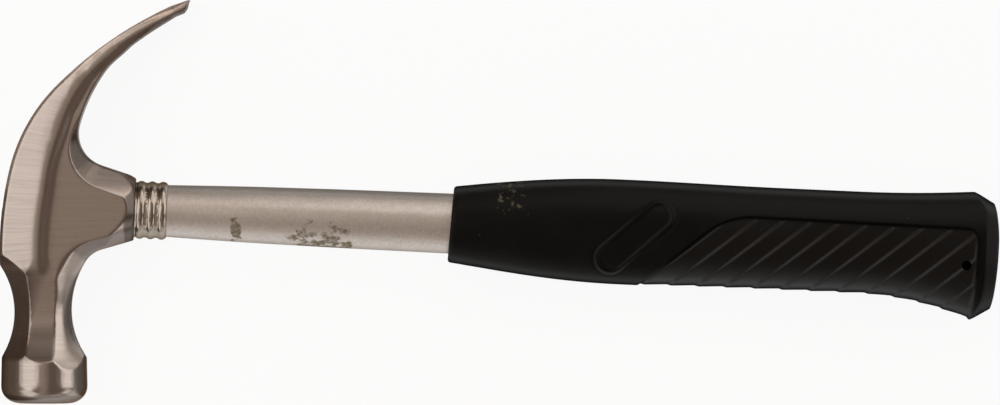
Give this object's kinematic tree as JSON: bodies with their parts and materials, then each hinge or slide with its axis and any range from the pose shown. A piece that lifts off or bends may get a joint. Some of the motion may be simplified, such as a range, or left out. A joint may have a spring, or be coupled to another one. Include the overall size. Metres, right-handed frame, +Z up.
{
  "type": "claw hammer",
  "caption": "Curved-claw hammer with a forged steel head, a tubular steel shaft, a beaded collar and a black rubber grip, for driving and pulling nails.",
  "frame": {"origin": "centre of the striking face", "axes": "-Y points out of the striking face, +X runs along the handle towards the butt, +Z points up out of the cheek as the hammer lies on its side; Z = 0 is the hammer's mirror plane"},
  "size_m": [0.3299, 0.1337, 0.0286],
  "materials": {
    "head_steel": "ground, cross-brushed",
    "shaft_satin": "satin, silver",
    "collar_chrome": "bright plated",
    "core_wood": "sawn end grain",
    "wedge_steel": "plain",
    "plug_plastic": "moulded",
    "grip_rubber": "moulded, satin"
  },
  "bodies": {
    "root": {"hammer_head": "head_steel", "shaft_tube": "shaft_satin", "neck_collar": "collar_chrome", "eye_core": "core_wood", "eye_wedge": "wedge_steel", "tube_end_plug": "plug_plastic", "grip_sleeve": "grip_rubber"}
  },
  "joints": []
}
